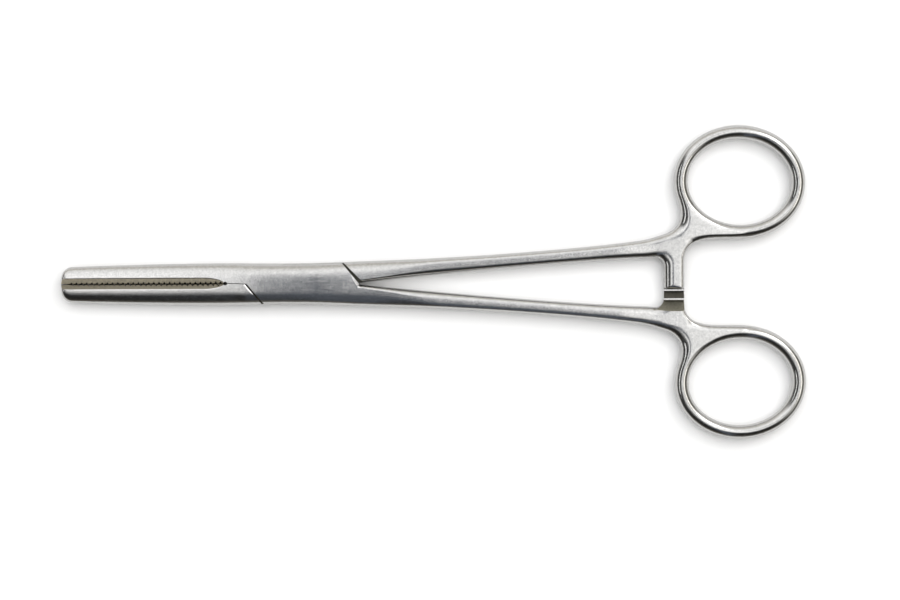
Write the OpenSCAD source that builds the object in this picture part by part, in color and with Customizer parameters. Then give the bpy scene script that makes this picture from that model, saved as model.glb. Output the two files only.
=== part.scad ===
// Tubing clamp: ring-handled forceps with a box lock, serrated straight jaws and a ratchet.
// The clamp lies flat and closed. The origin is on the pivot axis at the underside of the
// box, +X runs along the shanks to the finger rings, -X along the jaws, and +Z is up.

/* [Jaws] */
// Reach of the jaws from the pivot to the tip
jaw_reach = 58.5; // [50:0.5:70]
// Width of the closed pair near the tip
jaw_tip_w = 8.4; // [7:0.1:9.4]
// Width of the closed pair where it meets the box
jaw_root_w = 10.2; // [9.8:0.1:11.5]
// Thickness of the jaws at the tip
jaw_tip_t = 3.7; // [3.2:0.1:4.6]
// Corner radius of the tip, seen from above
jaw_tip_r = 2.6; // [1.5:0.1:3.2]
// Distance from the pivot to the rear end of the gripping stretch
grip_start = 19; // [17:0.5:26]
// Pitch of the cross serrations
tooth_pitch = 1.25; // [1:0.05:2]
// Depth of the cross serrations
tooth_depth = 0.5; // [0.3:0.05:0.6]
// Gap left between the closed jaws
jaw_gap = 0.16; // [0.12:0.02:0.3]
// Width of the bevel along each gripping edge
bevel_w = 1.5; // [0.8:0.1:2]
// Drop of that bevel from the jaw's face to its gripping edge
bevel_drop = 1; // [0.5:0.1:1.2]
// Radius of the relief notch behind the grip
relief_r = 0.45; // [0.3:0.05:0.6]

/* [Box lock] */
// Width of the box at its waist
box_w = 9.96; // [9:0.1:11]
// Thickness of the box
box_t = 5.6; // [5:0.1:6.4]
// Height of the crown that the flat faces of the box are ground from
box_crown = 0.2; // [0:0.05:0.4]
// Height of the passage through the box
slot_t = 2.1; // [1.6:0.1:2.6]
// Clearance over and under the web that runs through the passage
web_clear = 0.07; // [0.04:0.01:0.15]
// Clearance between the web and the side walls of the passage
wall_clear = 0.15; // [0.1:0.01:0.3]
// Distance from the pivot to the points where the box steps start
step_reach = 13.5; // [12:0.1:15]
// Angle between each step and the clamp's axis
step_angle = 50; // [45:1:60]
// Angle between the passage's side walls and the clamp's axis
wall_angle = 30; // [26:1:34]
// Gap along the steps
step_gap = 0.3; // [0.2:0.05:0.5]
// Width of the box's chamfer at the crotch
crotch_chamfer = 1.2; // [0.4:0.1:1.4]
// Width of the chamfer on the lower jaw's shoulder
shoulder_chamfer = 0.55; // [0.2:0.05:0.8]
// Extra width of the gap at the crotch between the shanks
crotch_gap = 0.45; // [0:0.05:0.6]
// Radius of the riveted pivot pin
pin_r = 1.6; // [1.2:0.1:2]
// Running clearance of the web on the pin, on the radius
pin_clear = 0.05; // [0.02:0.01:0.1]

/* [Shanks] */
// Width of a shank where it leaves the box
shank_root_w = 5.2; // [4.6:0.1:5.4]
// Thickness of a shank where it leaves the box
shank_root_t = 5; // [4.4:0.1:5.4]
// Width of a shank at its slimmest point
shank_waist_w = 3.5; // [3:0.1:4.2]
// Thickness of a shank beyond its slimmest point
shank_waist_t = 3.7; // [3.4:0.1:4.2]
// Distance from the pivot to the slimmest point
shank_waist_x = 57; // [50:1:64]
// Distance from the pivot to the neck, where the ring and the ratchet arm branch off
neck_reach = 83; // [76:1:95]
// Distance from the clamp's axis to a shank's centre line at the neck
neck_rise = 8.05; // [7.6:0.05:10]
// Width of a shank at the neck
neck_w = 4.5; // [4:0.1:5]

/* [Finger rings] */
// Length of a finger hole
hole_l = 24.9; // [22:0.1:28]
// Width of a finger hole
hole_w = 20.6; // [18:0.1:24]
// Width of the ring around the hole
ring_wall = 3.5; // [3:0.1:4.2]
// Thickness of a ring
ring_t = 3.6; // [3.2:0.1:4.2]
// Slant of a finger hole to the clamp's axis
ring_tilt = -3; // [-8:1:4]
// Distance from the neck to the near edge of the ring, along the clamp
ring_setback = 6.6; // [6:0.1:8]
// Distance from a shank's centre line at the neck to the inner edge of the ring
ring_lift = 2.35; // [2:0.05:3]
// Blend radius between ring and shank
ring_blend_r = 7.2; // [5:0.1:9]
// Blend radius between ring and ratchet arm
arm_blend_r = 3; // [2:0.1:4]

/* [Ratchet] */
// Width of a ratchet arm
arm_w = 4.9; // [4:0.1:5.6]
// Thickness of the neck and of the arm's root
arm_t = 3.5; // [3.2:0.1:4]
// How far an arm reaches past the clamp's axis
arm_overlap = 1.7; // [1:0.1:2.4]
// Number of ratchet teeth
ratchet_teeth = 3; // [2:1:4]
// Pitch of the ratchet teeth
ratchet_pitch = 2.2; // [1.6:0.1:2.4]
// Depth of the ratchet teeth
ratchet_depth = 0.5; // [0.3:0.05:0.7]
// Gap between the crests of the two racks
ratchet_gap = 0.1; // [0.06:0.02:0.3]
// Length of the ramp from the rack up to the face of the neck
ratchet_ramp = 2.95; // [2:0.05:4]
// Rounding of the edges of neck and arm
arm_edge_r = 0.9; // [0.5:0.1:1.2]

/* [Hidden] */

STEEL = [0.72, 0.72, 0.70];
PIN_STEEL = [0.62, 0.62, 0.60];

far = 40;                                   // reach of cutting shapes past the clamp
head_sides = 28;                            // points round a section of jaws and box
shank_sides = 20;                           // points round a section of a shank
ring_steps = 60;                            // sections round a finger ring
ring_sides = 12;                            // points round a section of a ring

tip_round_t = 1;                            // rounding of the tip's faces, seen from the side
land_front = 12;                            // the box keeps its full thickness from here ...
land_rear = 8;                              // ... to here
grip_end = jaw_reach - 0.9;                 // front end of the serrations
tooth_count = floor((grip_end - grip_start - 0.4) / tooth_pitch);
bevel_run = 5.2;                            // length over which the bevels run out

wall_out = 22;                              // length of a passage wall that clears the box
web_t = slot_t - 2 * web_clear;

ring_l = hole_l + 2 * ring_wall;
ring_w = hole_w + 2 * ring_wall;
ring_x = neck_reach + ring_setback + ring_l / 2;
ring_y = neck_rise + ring_lift + ring_w / 2;
arm_x = neck_reach + ring_setback;
root_bury = 4;                              // how far a shank reaches back into the box
end_bury = 4;                               // how far a shank reaches on into the neck
end_inset = 0.6;                            // how much slimmer its buried ends are
shank_slope = atan((neck_rise - shank_root_w / 2) / (neck_reach - step_reach));
neck_slant = 17.5;                            // slant of the neck beyond the end of the shank
neck_hub = [arm_x + 3.2, neck_rise + 2.3];  // point that the neck's outline is seen from
neck_radius = 9.6;                          // reach of the neck plate round that point
neck_rays = 90;                             // points round the neck's outline
crook_r = 2.2;                              // fillet between shank and arm
crest = ratchet_gap / 2;                    // height of the rack's crests over the mid-plane
root = crest + ratchet_depth;
rack_start = ratchet_teeth * ratchet_pitch - arm_overlap - 0.45;
ramp_start = rack_start + ratchet_ramp;

// ---- sections and lofts

function signed_pow(v, p) = sign(v) * pow(abs(v), p);

// Rounded section in the YZ plane: a superellipse, ground flat at the height flat.
function section(x, y, w, t, n, sides, flat = far) = [
    for (i = [0 : sides - 1])
        let (a = 360 * (i + 0.5) / sides)
        [x, y + w / 2 * signed_pow(cos(a), 2 / n),
         max(-flat, min(flat, t / 2 * signed_pow(sin(a), 2 / n)))]
];

// Skin over a list of sections that all have the same number of points. The ends are flat;
// where they aren't convex, hubs gives the point that each end's triangles fan out from.
module loft(rings, closed = false, hubs = []) {
    n = len(rings[0]);
    m = len(rings);
    sides = [
        for (j = [0 : closed ? m - 1 : m - 2]) for (i = [0 : n - 1])
            let (a = j * n, b = (j + 1) % m * n, k = (i + 1) % n)
            each [[a + i, b + i, a + k], [a + k, b + i, b + k]]
    ];
    ends = len(hubs) == 0
        ? [[for (i = [0 : n - 1]) i], [for (i = [n - 1 : -1 : 0]) (m - 1) * n + i]]
        : [for (i = [0 : n - 1]) let (k = (i + 1) % n)
            each [[m * n, i, k], [m * n + 1, (m - 1) * n + k, (m - 1) * n + i]]];
    polyhedron(points = concat([for (r = rings) each r], hubs),
               faces = closed ? sides : concat(sides, ends));
}

// ---- jaws and box

// Half the width of the closed jaws and the box, seen from above.
function body_half_w(x) =
    x < -16 ? jaw_tip_w / 2
              + (jaw_root_w - jaw_tip_w) / 2 * (1 - pow((-16 - x) / (jaw_reach - 16), 1.8))
    : x < -5 ? box_w / 2 + (jaw_root_w - box_w) / 2 * pow((-5 - x) / 11, 2)
    : box_w / 2 + (shank_outer(step_reach) - box_w / 2) * pow((x + 5) / (step_reach + 5), 2);

// Half the thickness of jaws and box.
function body_half_t(x) =
    x < -land_front ? jaw_tip_t / 2
                      + (box_t - jaw_tip_t) / 2 * (jaw_reach + x) / (jaw_reach - land_front)
    : x < land_rear ? box_t / 2
    : box_t / 2 - (box_t - shank_root_t) / 2 * pow((x - land_rear) / (step_reach - land_rear), 2);

// What a corner of radius r takes off at the distance d from the tip.
function corner(r, d) = d >= r ? 0 : r - sqrt(r * r - (r - d) * (r - d));

function body_section(x) =
    let (d = x + jaw_reach,
         full = 2 * body_half_t(x) * (1 + 2 * box_crown / box_t),
         n = x < -land_front ? 3.5 - (-x - land_front) / (jaw_reach - land_front) : 3.5)
    section(x, 0, 2 * (body_half_w(x) - corner(jaw_tip_r, d)),
            full - 2 * corner(tip_round_t, d), n, head_sides,
            body_half_t(x) - corner(tip_round_t, d));

module body() {
    stations = concat(
        [for (d = [0, 0.12, 0.45, 1, 1.7]) d - jaw_reach],
        [for (i = [0 : 5]) -jaw_reach + jaw_tip_r + i / 5 * (jaw_reach - jaw_tip_r - 16)],
        [-land_front, -5, 0, land_rear, (land_rear + step_reach) / 2, step_reach]);
    loft([for (x = stations) body_section(x)]);
}

// Parting line between the jaws, from the box out past the tip, with its zigzag of teeth.
function parting(shift) = concat(
    [[-grip_start - 0.4, shift]],
    [for (i = [0 : 2 * tooth_count - 1])
        [-grip_start - 0.4 - (i + 0.5) * tooth_pitch / 2, shift + (i % 2 == 0 ? 0.5 : -0.5) * tooth_depth]],
    [[-grip_start - 0.4 - tooth_count * tooth_pitch, shift], [-jaw_reach - far, shift]]);

// Plan of the jaw on the -Y side, up to its shoulder at the front step.
module lower_jaw_plan() {
    x = -step_reach - step_gap / sin(step_angle);
    polygon(concat([[x + far / tan(step_angle), -far], [x, -jaw_gap / 2]], parting(-jaw_gap / 2),
                   [[-jaw_reach - far, -far]]));
}

// V-shaped groove that bevels both gripping edges of one face and runs out to the rear.
module bevels() {
    slope = bevel_drop / bevel_w;
    run = [0, 0.25, 0.5, 0.7, 0.85, 0.95, 1];
    stations = concat([-jaw_reach - 1], [for (r = run) -grip_start - bevel_run * (1 - r)]);
    loft([for (x = stations)
        let (r = max(0, 1 - (-grip_start - x) / bevel_run),
             z = body_half_t(max(x, -jaw_reach)) - bevel_drop * sqrt(max(0.0004, 1 - r * r)),
             h = body_half_t(x) + 1 - z)
        [[x, 0, z], [x, h / slope, z + h], [x, -h / slope, z + h]]]);
}

module grip_cuts() {
    for (s = [0, 1]) rotate([180 * s, 0, 0]) bevels();
    translate([-grip_start + 0.3, 0, 0]) cylinder(r = relief_r, h = far, center = true, $fn = 24);
}

// ---- box lock, seen from above

// Upper jaw and the cheeks of the box, between the front step and the rear step.
module box_plan() {
    run = far / tan(step_angle);
    polygon(concat([[-step_reach, 0], [-step_reach, jaw_gap / 2]], parting(jaw_gap / 2),
                   [[-jaw_reach - far, far], [step_reach - run, far], [step_reach, 0],
                    [step_reach, -far], [-step_reach + run, -far]]));
}

// Passage through the box, bounded by its two side walls.
module passage_plan() {
    a = [-step_reach, 0];
    u = [cos(wall_angle), sin(wall_angle)] * wall_out;
    polygon([a, a + u, [far, u[1]], [far, 0], -a, -a - u, [a[0], -u[1]]]);
}

// Web that fills the passage, with its running clearance to the side walls.
module web_plan() {
    g = jaw_gap / 2;
    a = [-step_reach + wall_clear / sin(wall_angle), 0];
    u = [cos(wall_angle), sin(wall_angle)] * wall_out;
    foot = [a[0] - g / tan(wall_angle), -g];
    end = [-step_reach - 2, -g];
    polygon([end, foot, a + u, [-end[0], u[1]], -end, -foot, -a - u, [end[0], -u[1]]]);
}

// Everything behind the rear step, with a gap that widens towards the crotch.
module shoulder_plan() {
    gap = step_gap / sin(step_angle);
    crotch = [step_reach + gap + crotch_gap, 0];
    corner = [step_reach + gap - box_w / 2 / tan(step_angle), box_w / 2];
    polygon([crotch, corner + (corner - crotch), [crotch[0], far], [far * 3, far],
             [far * 3, -far], [crotch[0], -far]]);
}

// Chamfer on the face s along an edge that runs from the point a to the point b. It is wa
// wide at a and wb wide at b, and cuts into the side that the unit vector n points to.
module edge_chamfer(a, b, n, wa, wb, s) {
    function corners(p, w) = let (q = p + n * w, o = p - n * 0.3, z = s * box_t / 2)
        [[q[0], q[1], z], [p[0], p[1], z - s * w * 0.8], [o[0], o[1], z - s * w * 0.8], [o[0], o[1], z + s * 0.3],
         [q[0], q[1], z + s * 0.3]];
    d = b - a;
    turned = (d[0] * n[1] - d[1] * n[0]) * s > 0;
    loft(turned ? [corners(b, wb), corners(a, wa)] : [corners(a, wa), corners(b, wb)]);
}

// Chamfers of the edges that the steps leave on the two halves, on both faces.
module box_chamfers() {
    n = [-sin(step_angle), -cos(step_angle)];
    for (s = [1, -1])
        edge_chamfer([step_reach - box_w / 2 / tan(step_angle), box_w / 2], [step_reach, -0.02], n, 0.1, crotch_chamfer, s);
}
module shoulder_chamfers() {
    n = [-sin(step_angle), -cos(step_angle)];
    x = -step_reach - step_gap / sin(step_angle);
    for (s = [1, -1])
        edge_chamfer([x, 0], [x + far / 5 / tan(step_angle), -far / 5], n, shoulder_chamfer, shoulder_chamfer, s);
}

// ---- handle: shank, neck, ratchet arm and finger ring on the +Y side

function waist_share(x) = max(0, (shank_waist_x - x) / (shank_waist_x - step_reach));
function neck_share(x) = max(0, (x - shank_waist_x) / (neck_reach - shank_waist_x));
function shank_w(x) = shank_waist_w + (shank_root_w - shank_waist_w) * pow(waist_share(x), 2)
                      + (neck_w - shank_waist_w) * pow(neck_share(x), 2.5);
function shank_t(x) = shank_waist_t + (shank_root_t - shank_waist_t) * pow(waist_share(x), 2);
function shank_y(x) =
    let (s = (x - step_reach) / (neck_reach - step_reach), y0 = shank_root_w / 2 + 0.2)
    y0 + (neck_rise - y0) * s - 0.7 * s * (1 - s);
function shank_outer(x) = shank_y(x) + shank_w(x) / 2;

module shank() {
    loft(concat(
        [section(step_reach - root_bury, shank_root_w / 2 + 0.1, shank_root_w - end_inset,
                 shank_root_t - end_inset, 4, shank_sides)],
        [for (i = [0 : 12])
            let (x = step_reach + 0.02 + (neck_reach - step_reach) * i / 12)
            section(x, shank_y(x), shank_w(x), shank_t(x), 4 - 1.4 * min(1, i / 4), shank_sides)],
        [section(neck_reach + end_bury, neck_rise + end_bury * tan(neck_slant), neck_w - end_inset - 0.3,
                 arm_t - end_inset / 2, 2.6, shank_sides)]));
}

// Distances to the forms that meet at the neck, negative inside them.
function oval_distance(p, l, w) =
    let (c = cos(ring_tilt), s = sin(ring_tilt), d = p - [ring_x, ring_y],
         q = [(d[0] * c + d[1] * s) * 2 / l, (d[1] * c - d[0] * s) * 2 / w],
         k = norm([q[0] * 2 / l, q[1] * 2 / w]))
    norm(q) * (norm(q) - 1) / max(k, 0.001);
function ring_distance(p) = max(oval_distance(p, ring_l - 0.2, ring_w - 0.2),
                                -oval_distance(p, ring_l - ring_wall, ring_w - ring_wall));
function shank_distance(p) =
    let (d = p - [neck_reach, neck_rise], a = d[0] < 0 ? shank_slope : neck_slant)
    abs(d[1] * cos(a) - d[0] * sin(a)) - neck_w / 2 + 0.1 - 0.22 * min(0, d[0]);
function arm_distance(p) = max(abs(p[0] - arm_x) - arm_w / 2, p[1] - neck_rise);

// Union of two forms with a round fillet in the corner between them.
function blend(a, b, r) = max(r, min(a, b)) - norm([max(r - a, 0), max(r - b, 0)]);
function neck_distance(p) = max(
    blend(blend(ring_distance(p), shank_distance(p), p[0] > arm_x && p[1] < neck_hub[1] ? arm_blend_r : ring_blend_r),
          arm_distance(p), p[0] < arm_x ? crook_r : arm_blend_r),
    -oval_distance(p, ring_l - ring_wall, ring_w - ring_wall));

// Where a ray from the neck's hub leaves the form inset by d: steps out, then halves the step.
function leave(dir, d, r = 0.5, step = 0.4) =
    r > neck_radius ? neck_radius
    : neck_distance(neck_hub + dir * r) < -d ? leave(dir, d, r + step, step)
    : step < 0.002 ? r : leave(dir, d, r - step * 0.9, step * 0.1);

// Neck: a plate with filleted corners and rounded edges.
module neck() {
    levels = [for (a = [-1, -0.87, -0.5, 0]) [1 - sqrt(1 - a * a), a], for (a = [0.5, 0.87, 1]) [1 - sqrt(1 - a * a), a]];
    side = [for (l = levels)
        [for (i = [0 : neck_rays - 1])
            let (dir = [cos(360 * i / neck_rays), sin(360 * i / neck_rays)],
                 q = neck_hub + dir * leave(dir, arm_edge_r * l[0]))
            [q[0], q[1], sign(l[1]) * (arm_t / 2 - arm_edge_r) + arm_edge_r * l[1]]]];
    loft(side, hubs = [[neck_hub[0], neck_hub[1], -arm_t / 2], [neck_hub[0], neck_hub[1], arm_t / 2]]);
}

// Ratchet arm: a bar with bevelled edges and rounded corners.
module arm() {
    reach = arm_overlap + neck_rise;
    translate([arm_x, neck_rise - reach / 2, 0]) hull()
        for (e = [[0, 1], [0.3, 0.55], [1, 0]]) let (in = arm_edge_r * e[0])
            linear_extrude(arm_t - 2 * arm_edge_r * e[1], center = true)
                offset(r = 0.7, $fn = 16) square([arm_w - 2 * in - 1.4, reach - 1.2 * in - 1.4], center = true);
}

module finger_ring() {
    loft([for (j = [0 : ring_steps - 1])
        let (a = -360 * j / ring_steps,
             p = [hole_l / 2 * cos(a), hole_w / 2 * sin(a)],
             q = [ring_l / 2 * cos(a), ring_w / 2 * sin(a)])
        [for (i = [0 : ring_sides - 1])
            let (b = 360 * (i + 0.5) / ring_sides,
                 f = 0.5 + 0.5 * signed_pow(cos(b), 2 / 2.3),
                 v = p + (q - p) * f)
            [ring_x + v[0] * cos(ring_tilt) - v[1] * sin(ring_tilt),
             ring_y + v[0] * sin(ring_tilt) + v[1] * cos(ring_tilt),
             ring_t / 2 * signed_pow(sin(b), 2 / 2.3)]]], closed = true);
}

// Cuts the arm down to its rack: a ramp, then saw teeth that are steep towards the shank.
module ratchet_cut() {
    teeth = [for (i = [0 : ratchet_teeth]) let (y = rack_start - i * ratchet_pitch)
        each [[y, root], [y - 0.2, crest], [y - 0.6, crest]]];
    translate([arm_x - arm_w / 2 - 2.5, 0, 0]) rotate([90, 0, 90])
        linear_extrude(arm_w + 2.5 + 0.02)
            polygon(concat([[ramp_start + 0.5, -arm_t / 2 - 0.5 * (root + arm_t / 2) / ratchet_ramp]],
                           teeth, [[-far, root], [-far, -far], [ramp_start + 0.5, -far]]));
}

module handle() {
    finger_ring();
    difference() {
        union() {
            neck();
            arm();
        }
        ratchet_cut();
    }
}

// ---- the two halves and the pin

// Half with the slotted box: jaw on the +Y side, shank and ring on the -Y side.
module female_half() {
    color(STEEL) translate([0, 0, box_t / 2]) difference() {
        union() {
            intersection() {
                body();
                linear_extrude(far, center = true) box_plan();
            }
            rotate([180, 0, 0]) {
                shank();
                handle();
            }
        }
        linear_extrude(slot_t, center = true) passage_plan();
        cylinder(r = pin_r, h = far, center = true, $fn = 72);
        grip_cuts();
        box_chamfers();
    }
}

// Half with the web through the box: jaw on the -Y side, shank and ring on the +Y side.
module male_half() {
    color(STEEL) translate([0, 0, box_t / 2]) difference() {
        union() {
            intersection() {
                union() {
                    body();
                    shank();
                }
                union() {
                    linear_extrude(far, center = true) {
                        lower_jaw_plan();
                        shoulder_plan();
                    }
                    linear_extrude(web_t, center = true) web_plan();
                }
            }
            handle();
        }
        cylinder(r = pin_r + pin_clear, h = far, center = true, $fn = 72);
        grip_cuts();
        shoulder_chamfers();
    }
}

module pivot_pin() {
    color(PIN_STEEL) cylinder(r = pin_r, h = box_t, $fn = 72);
}

female_half();
male_half();
pivot_pin();
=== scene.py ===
"""Dresses a tubing clamp: two forged halves in satin steel, joined by a box lock.

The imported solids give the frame. Both halves are built here again as fine meshes from the
same sizes, because polished steel shows every facet. One smooth blank is made for the
handle side, then each half is cut from a copy of it as the real one is milled.
"""

import math
from types import SimpleNamespace

import bmesh
import bpy
import numpy as np
from bpy.props import FloatProperty, FloatVectorProperty, IntProperty
from mathutils import Matrix, Vector


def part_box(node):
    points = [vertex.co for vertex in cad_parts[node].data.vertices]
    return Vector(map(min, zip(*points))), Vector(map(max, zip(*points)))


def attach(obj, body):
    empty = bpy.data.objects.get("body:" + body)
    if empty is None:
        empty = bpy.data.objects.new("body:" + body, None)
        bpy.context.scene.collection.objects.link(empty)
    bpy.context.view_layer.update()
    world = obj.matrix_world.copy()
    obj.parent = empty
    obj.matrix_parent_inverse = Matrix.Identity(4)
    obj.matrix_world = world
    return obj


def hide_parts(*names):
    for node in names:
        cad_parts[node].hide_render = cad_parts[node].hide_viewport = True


bl_info = {
    "name": "Tubing clamp",
    "version": (1, 0, 0),
    "blender": (4, 5, 0),
    "location": "View3D > Sidebar > Clamp",
    "description": "Builds a box-lock tubing clamp in satin steel round its packed solids",
    "category": "Add Mesh",
}

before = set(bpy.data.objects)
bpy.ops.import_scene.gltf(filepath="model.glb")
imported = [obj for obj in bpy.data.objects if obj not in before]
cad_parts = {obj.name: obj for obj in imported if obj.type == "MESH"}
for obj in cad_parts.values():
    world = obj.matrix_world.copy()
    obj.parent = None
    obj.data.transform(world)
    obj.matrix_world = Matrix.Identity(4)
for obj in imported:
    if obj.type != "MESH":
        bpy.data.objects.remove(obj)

MM = 0.001
FAR = 40.0  # reach of cutting shapes past the clamp, in millimetres
CELL = (0.3, 0.21, 0.21)  # of the grid that a blank is meshed on
MARGIN = (0.6, 0.6, 0.45)  # of that grid round the blank
SHARP = math.radians(32)  # edges steeper than this are shown sharp
WALL_RUN = 22.0  # length of a passage wall that clears the box
JAW_LEAN = 0.1  # how far the jaws' meeting faces lean
WORN_SLOPE, SEAM_SLOPE = 0.42, 2.2  # of the cuts beside a bevel


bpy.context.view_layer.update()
PIN_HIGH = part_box("pivot_pin")[1]
JAW_REACH = -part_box("female_half")[0].x / MM
BOX_THICKNESS = PIN_HIGH.z / MM
PIN_RADIUS = PIN_HIGH.x / MM


# ---------------- sizes that a user may change


def length(name, description, value, low, high):
    return FloatProperty(
        name=name,
        description=description,
        default=value * MM,
        min=low * MM,
        max=high * MM,
        unit="LENGTH",
        subtype="DISTANCE",
        precision=5,
    )


def angle(name, description, degrees):
    return FloatProperty(
        name=name,
        description=description,
        default=math.radians(degrees),
        min=-math.pi,
        max=math.pi,
        unit="ROTATION",
        subtype="ANGLE",
    )


def share(name, description, value):
    return FloatProperty(
        name=name, description=description, default=value, min=0, max=1, subtype="FACTOR"
    )


def colour(name, description, value):
    return FloatVectorProperty(
        name=name, description=description, default=value, min=0, max=1, subtype="COLOR", size=3
    )


class ClampJaws(bpy.types.PropertyGroup):
    """Sizes of the two jaws"""

    reach: length("Reach", "From the pivot to the tip", JAW_REACH, 50, 70)
    tip_width: length("Tip width", "Width of the closed pair at the tip", 8.4, 7, 9.4)
    root_width: length("Root width", "Width of the closed pair at the box", 10.2, 9.8, 11.5)
    tip_thickness: length("Tip thickness", "Thickness at the tip", 3.7, 3.2, 4.6)
    tip_radius: length("Tip radius", "Corner radius of the tip from above", 2.6, 1.5, 3.2)
    tip_rounding: length("Tip rounding", "Rounding of the tip from the side", 1, 0.4, 1.5)
    grip_start: length("Grip start", "Rear end of the grip from the pivot", 19, 17, 26)
    tooth_pitch: length("Tooth pitch", "Pitch of the cross serrations", 1.25, 1, 2)
    tooth_depth: length("Tooth depth", "Depth of the cross serrations", 0.5, 0.3, 0.6)
    gap: length("Gap", "Gap between the closed jaws", 0.16, 0.12, 0.3)
    bevel_width: length("Bevel width", "Width of the bevel at the grip", 1.5, 0.8, 2)
    bevel_drop: length("Bevel drop", "Drop of the bevel to the grip", 1, 0.5, 1.2)
    bevel_run: length("Bevel run-out", "Length over which a bevel runs out", 5.2, 3, 8)
    relief_radius: length("Relief", "Radius of the notch behind the grip", 0.45, 0.3, 0.6)


class ClampBox(bpy.types.PropertyGroup):
    """Sizes of the box lock"""

    width: length("Width", "Width at the waist", 9.96, 9, 11)
    thickness: length("Thickness", "Thickness of the box", BOX_THICKNESS, 5, 6.4)
    crown: length("Crown", "Height that the flat faces are ground from", 0.08, 0, 0.4)
    slot: length("Passage", "Height of the passage through the box", 2.1, 1.6, 2.6)
    web_clear: length("Web clearance", "Clearance over and under the web", 0.07, 0.04, 0.15)
    wall_clear: length("Wall clearance", "Clearance beside the web", 0.15, 0.1, 0.3)
    step_reach: length("Step reach", "From the pivot to the steps", 13.5, 12, 15)
    step_angle: angle("Step angle", "Angle of the steps to the clamp's axis", 50)
    wall_angle: angle("Wall angle", "Angle of the passage walls to the axis", 30)
    step_gap: length("Step gap", "Gap along the steps", 0.42, 0.2, 0.5)
    crotch_gap: length("Crotch gap", "Extra gap between the shanks", 0.75, 0, 1)
    crotch_chamfer: length("Crotch chamfer", "Chamfer at the crotch", 1.25, 0.4, 1.4)
    shoulder_chamfer: length("Shoulder chamfer", "Chamfer of the shoulder", 0.55, 0.2, 0.8)
    pin_clear: length("Pin clearance", "Clearance of the web on the pin", 0.05, 0.02, 0.1)


class ClampShanks(bpy.types.PropertyGroup):
    """Sizes of the shanks"""

    root_width: length("Root width", "Width where a shank leaves the box", 5.2, 4.6, 5.4)
    root_thickness: length("Root thickness", "Thickness at the box", 5, 4.4, 5.4)
    waist_width: length("Waist width", "Width at the slimmest point", 3.5, 3, 4.2)
    waist_thickness: length("Waist thickness", "Thickness past the waist", 3.7, 3.4, 4.2)
    waist_reach: length("Waist reach", "From the pivot to the waist", 57, 50, 64)
    neck_reach: length("Neck reach", "From the pivot to the neck", 83, 76, 95)
    neck_rise: length("Neck rise", "Shank's centre line at the neck", 8.05, 7.6, 10)
    neck_width: length("Neck width", "Width at the neck", 4.5, 4, 5)
    neck_slant: angle("Neck slant", "Slant of the neck past the shank", 17.5)


class ClampRings(bpy.types.PropertyGroup):
    """Sizes of the finger rings"""

    hole_length: length("Hole length", "Length of a finger hole", 24.9, 22, 28)
    hole_width: length("Hole width", "Width of a finger hole", 20.6, 18, 24)
    wall: length("Wall", "Width of the ring round the hole", 3.5, 3, 4.2)
    thickness: length("Thickness", "Thickness of a ring", 3.6, 3.2, 4.2)
    tilt: angle("Tilt", "Slant of a finger hole to the axis", -3)
    setback: length("Setback", "From the neck to the ring", 6.6, 6, 8)
    lift: length("Lift", "From the shank's line to the ring", 2.35, 2, 3)
    ring_blend: length("Ring blend", "Blend radius of ring and shank", 7.2, 5, 9)
    arm_blend: length("Arm blend", "Blend radius of ring and arm", 3, 2, 4)


class ClampRatchet(bpy.types.PropertyGroup):
    """Sizes of the ratchet"""

    arm_width: length("Arm width", "Width of a ratchet arm", 4.9, 4, 5.6)
    arm_thickness: length("Arm thickness", "Thickness of the arm's root", 3.5, 3.2, 4)
    overlap: length("Overlap", "Reach of an arm past the axis", 1.7, 1, 2.4)
    teeth: IntProperty(name="Teeth", description="Ratchet teeth on an arm", default=3, min=2, max=4)
    pitch: length("Pitch", "Pitch of the ratchet teeth", 2.2, 1.6, 2.4)
    depth: length("Depth", "Depth of the ratchet teeth", 0.5, 0.3, 0.7)
    gap: length("Gap", "Gap between the racks", 0.1, 0.06, 0.3)
    ramp: length("Ramp", "Length of the ramp behind a rack", 2.95, 2, 4)
    edge: length("Edge rounding", "Rounding of the arm's right edge", 0.9, 0.5, 1.2)
    bevel: length("Bevel", "Width of the bevel along the arm's left edge", 2.4, 1.5, 2.4)
    crook: length("Crook", "Fillet between shank and arm", 2.2, 1, 3)


class ClampFinish(bpy.types.PropertyGroup):
    """Colours and gloss of the steel"""

    steel: colour("Steel", "Colour of the satin steel", (0.60, 0.595, 0.585))
    pin_steel: colour("Pin steel", "Colour of the pin", (0.60, 0.595, 0.585))
    # Painted light: the upper jaw's bevels are the same milled face as the lower jaw's, given a
    # light beige where light falls on them.
    milled: colour("Lit steel", "Colour of the upper jaw's bevels", (0.86, 0.79, 0.66))
    # Painted shade: the lower jaw's bevels, the same milled face, given a dark tone where they lie
    # in shade.
    dull_shaded: colour("Shaded steel", "Colour of the lower jaw's bevels", (0.28, 0.26, 0.21))
    satin: share("Satin", "Roughness of the satin steel", 0.16)
    # Painted shade: a darker copy of the steel for the ratchet's ramps and for faces hidden in the
    # box.
    rack: colour("Rack steel", "Colour of ramps and of hidden faces", (0.28, 0.27, 0.22))
    # Painted shade: near black in the valleys between the teeth, along the seams by the teeth, in
    # the notch, in the box's gaps and on the web.
    scale: colour("Scale", "Colour between teeth, along seams and on the web", (0.07, 0.066, 0.055))
    matte: share("Matte", "Roughness of the dull faces", 0.45)
    rough: share("Rough", "Roughness of the upper jaw's bevels", 0.75)
    floor: colour("Floor", "Colour of the floor", (0.93, 0.93, 0.93))


PARTS = {
    "jaw": ClampJaws,
    "box": ClampBox,
    "shank": ClampShanks,
    "ring": ClampRings,
    "ratchet": ClampRatchet,
}


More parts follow.
